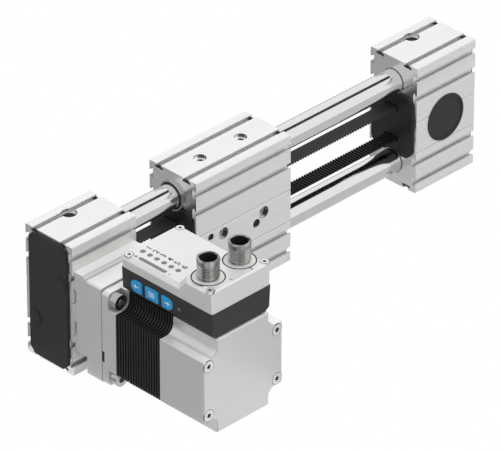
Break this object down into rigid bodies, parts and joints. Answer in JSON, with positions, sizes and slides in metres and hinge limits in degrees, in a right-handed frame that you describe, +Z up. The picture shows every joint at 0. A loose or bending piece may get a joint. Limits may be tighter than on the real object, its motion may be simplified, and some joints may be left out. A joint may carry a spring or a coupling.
{
  "type": "belt driven linear axis",
  "caption": "Toothed belt linear axis: a carriage on two guide rods between two end heads, with a side mounted square motor and controller.",
  "frame": {"origin": "centre of the drive head's bottom face, right below the drive pulley's axis", "axes": "+X along the carriage's travel from the drive head to the idle head, -Y towards the motor, +Z up"},
  "size_m": [0.3052, 0.1305, 0.1018],
  "materials": {
    "profile_alu": "satin natural anodised extrusion",
    "cast_alu": "fine matt machined housing",
    "lid_alu": "fine matt coated lid",
    "rod_steel": "hard chromed ground rod",
    "cover_black": "matt moulded cover",
    "guard_black": "matt moulded guard",
    "fins_black": "black finned motor body",
    "base_black": "matt moulded housing",
    "screw_steel": "turned screw steel",
    "clamp_steel": "milled clamp jaws",
    "plug_nickel": "nickel plated connector shell",
    "insert_black": "contact carrier",
    "contact_gold": "gold plated contacts",
    "light_grey": "indicator lenses",
    "light_status": "status lens",
    "bearing_steel": "bearing steel",
    "belt_rubber": "polyurethane toothed belt",
    "bush_steel": "steel bush",
    "seal_rubber": "rod seal",
    "pulley_alu": "milled toothed pulley",
    "shaft_steel": "ground shaft",
    "key_blue": "soft blue keypad"
  },
  "bodies": {
    "frame": {"drive_head": "profile_alu", "idle_head": "profile_alu", "mount_block": "cast_alu", "motor_flange": "cast_alu", "rear_housing": "cast_alu", "control_lid": "lid_alu", "rod_upper": "rod_steel", "rod_lower": "rod_steel", "drive_cover": "cover_black", "tail_cover": "cover_black", "axle_caps": "cover_black", "drive_guard": "guard_black", "idle_guard": "guard_black", "motor_fins": "fins_black", "control_base": "base_black", "flange_screws": "screw_steel", "rear_screws": "screw_steel", "lid_screws": "screw_steel", "power_shell": "plug_nickel", "logic_shell": "plug_nickel", "contact_inserts": "insert_black", "contact_pins": "contact_gold", "indicator_lights": "light_grey", "status_light": "light_status", "drive_bearings": "bearing_steel", "idle_bearings": "bearing_steel", "belt": "belt_rubber"},
    "carriage": {"carriage_block": "profile_alu", "rod_bushes": "bush_steel", "rod_seals": "seal_rubber", "carriage_guards": "guard_black", "clamp_upper": "clamp_steel", "clamp_lower": "clamp_steel", "clamp_screws": "clamp_steel"},
    "drive_spindle": {"drive_pulley": "pulley_alu", "drive_shaft": "shaft_steel"},
    "idle_spindle": {"idle_pulley": "pulley_alu", "idle_shaft": "shaft_steel"},
    "left_key": {"key_left": "key_blue"},
    "middle_key": {"key_middle": "key_blue"},
    "right_key": {"key_right": "key_blue"}
  },
  "joints": [
    {"name": "carriage_slide", "type": "slide", "parent": "frame", "child": "carriage", "axis": [1, 0, 0], "range_m": [-0.04, 0.092], "deforming": ["belt"]},
    {"name": "drive_spin", "type": "hinge", "parent": "frame", "child": "drive_spindle", "pos_m": [0, 0, 0.03925], "axis": [0, 1, 0], "range_deg": [-234, 541]},
    {"name": "idle_spin", "type": "hinge", "parent": "frame", "child": "idle_spindle", "pos_m": [0.256, 0, 0.03925], "axis": [0, 1, 0], "range_deg": [-234, 541]},
    {"name": "left_press", "type": "slide", "parent": "frame", "child": "left_key", "axis": [0.9986, 0, 0.0538], "range_m": [0, 0.0005], "stiffness_N_per_m": 400},
    {"name": "middle_press", "type": "slide", "parent": "frame", "child": "middle_key", "axis": [0.9986, 0, 0.0538], "range_m": [0, 0.0005], "stiffness_N_per_m": 400},
    {"name": "right_press", "type": "slide", "parent": "frame", "child": "right_key", "axis": [0.9986, 0, 0.0538], "range_m": [0, 0.0005], "stiffness_N_per_m": 400}
  ],
  "couplings": [
    {"joint": "drive_spin", "follows": "carriage_slide", "rad_per_m": 101.34},
    {"joint": "idle_spin", "follows": "carriage_slide", "rad_per_m": 101.34}
  ]
}
